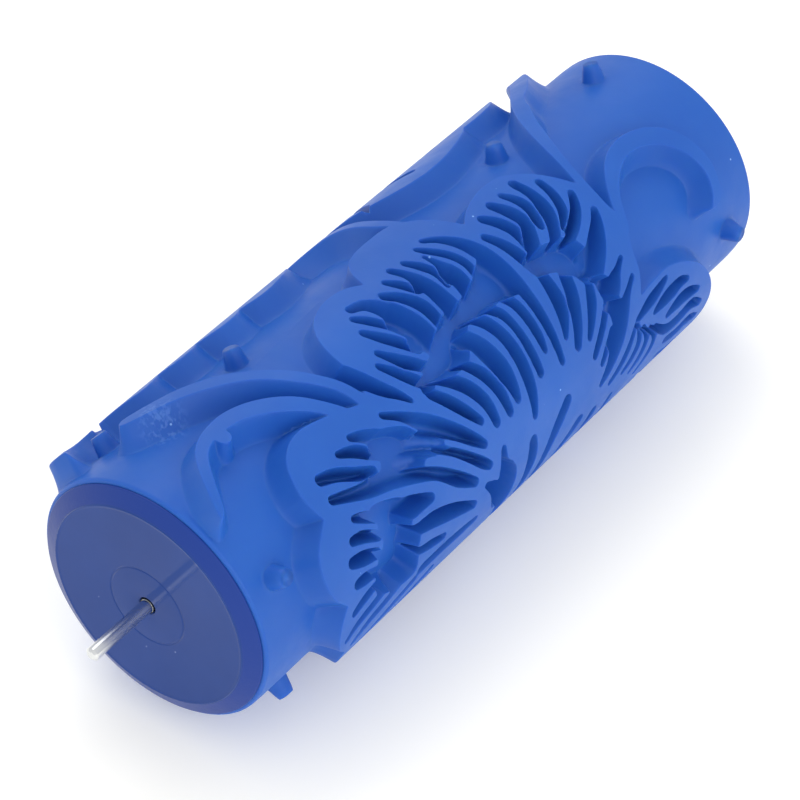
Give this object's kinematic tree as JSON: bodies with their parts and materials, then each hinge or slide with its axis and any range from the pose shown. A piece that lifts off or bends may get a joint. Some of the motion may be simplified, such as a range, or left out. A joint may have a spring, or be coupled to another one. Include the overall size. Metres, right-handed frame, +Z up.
{
  "type": "textured pattern roller",
  "caption": "Decorating roller with a moulded rubber sleeve carrying a raised flower pattern, turning freely on a through axle.",
  "frame": {"origin": "on the axle's centreline at the roller's mid length", "axes": "+Y along the axle from the near end cap to the far one, +Z up, +X to the right"},
  "size_m": [0.0678, 0.2164, 0.0678],
  "materials": {
    "sleeve_rubber": "satin mid-blue moulded rubber",
    "core_plastic": "plain extruded tube",
    "cap_plastic": "glossy dark blue moulding",
    "axle_steel": "bright zinc-plated drawn rod",
    "clip_steel": "plain spring steel"
  },
  "bodies": {
    "axle": {"axle_rod": "axle_steel", "axle_clips": "clip_steel"},
    "roller": {"rubber_sleeve": "sleeve_rubber", "core_tube": "core_plastic", "end_cap_near": "cap_plastic", "end_cap_far": "cap_plastic"}
  },
  "joints": [
    {"name": "roller_spin", "type": "hinge", "parent": "axle", "child": "roller", "pos_m": [0, 0, 0], "axis": [0, 1, 0], "continuous": true}
  ]
}
